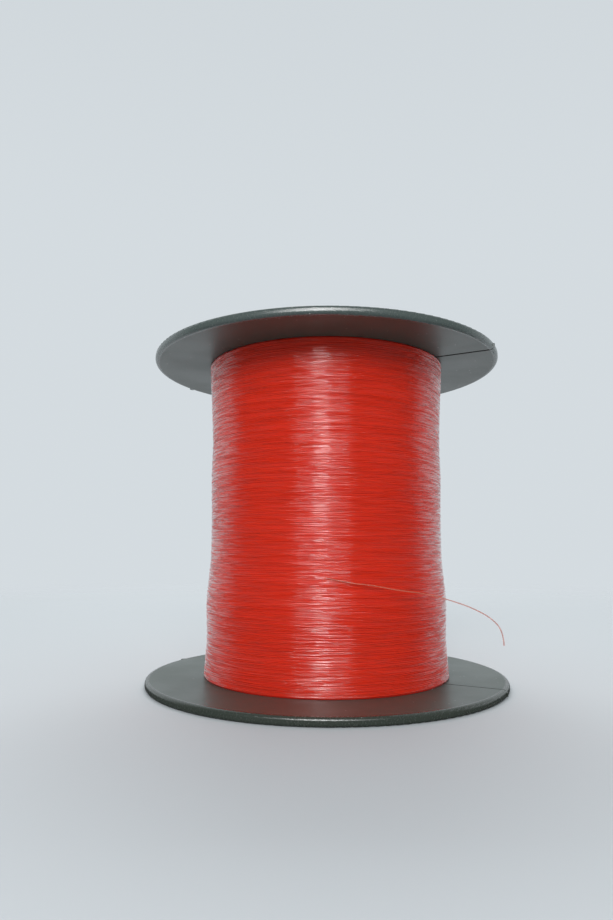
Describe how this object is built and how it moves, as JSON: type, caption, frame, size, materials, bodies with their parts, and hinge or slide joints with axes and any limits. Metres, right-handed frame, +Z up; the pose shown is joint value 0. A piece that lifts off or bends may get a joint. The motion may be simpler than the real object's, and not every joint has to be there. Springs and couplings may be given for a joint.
{
  "type": "string reel",
  "caption": "Plastic reel with two thin round flanges, wound full of fine red string whose free end hangs loose at the front.",
  "frame": {"origin": "middle of the outer face of the lower flange, which the reel stands on", "axes": "+Z up along the axis of the reel; -Y is the front, where the free end of the string leaves the winding, and the free end runs towards +X"},
  "size_m": [0.1, 0.1, 0.092],
  "materials": {
    "flange_plastic": "satin black moulded plastic, fine grain",
    "barrel_plastic": "satin black plastic tube",
    "string": "glossy red monofilament"
  },
  "bodies": {
    "root": {"bottom_flange": "flange_plastic", "top_flange": "flange_plastic", "barrel": "barrel_plastic", "string_winding": "string", "string_tail": "string"}
  },
  "joints": []
}
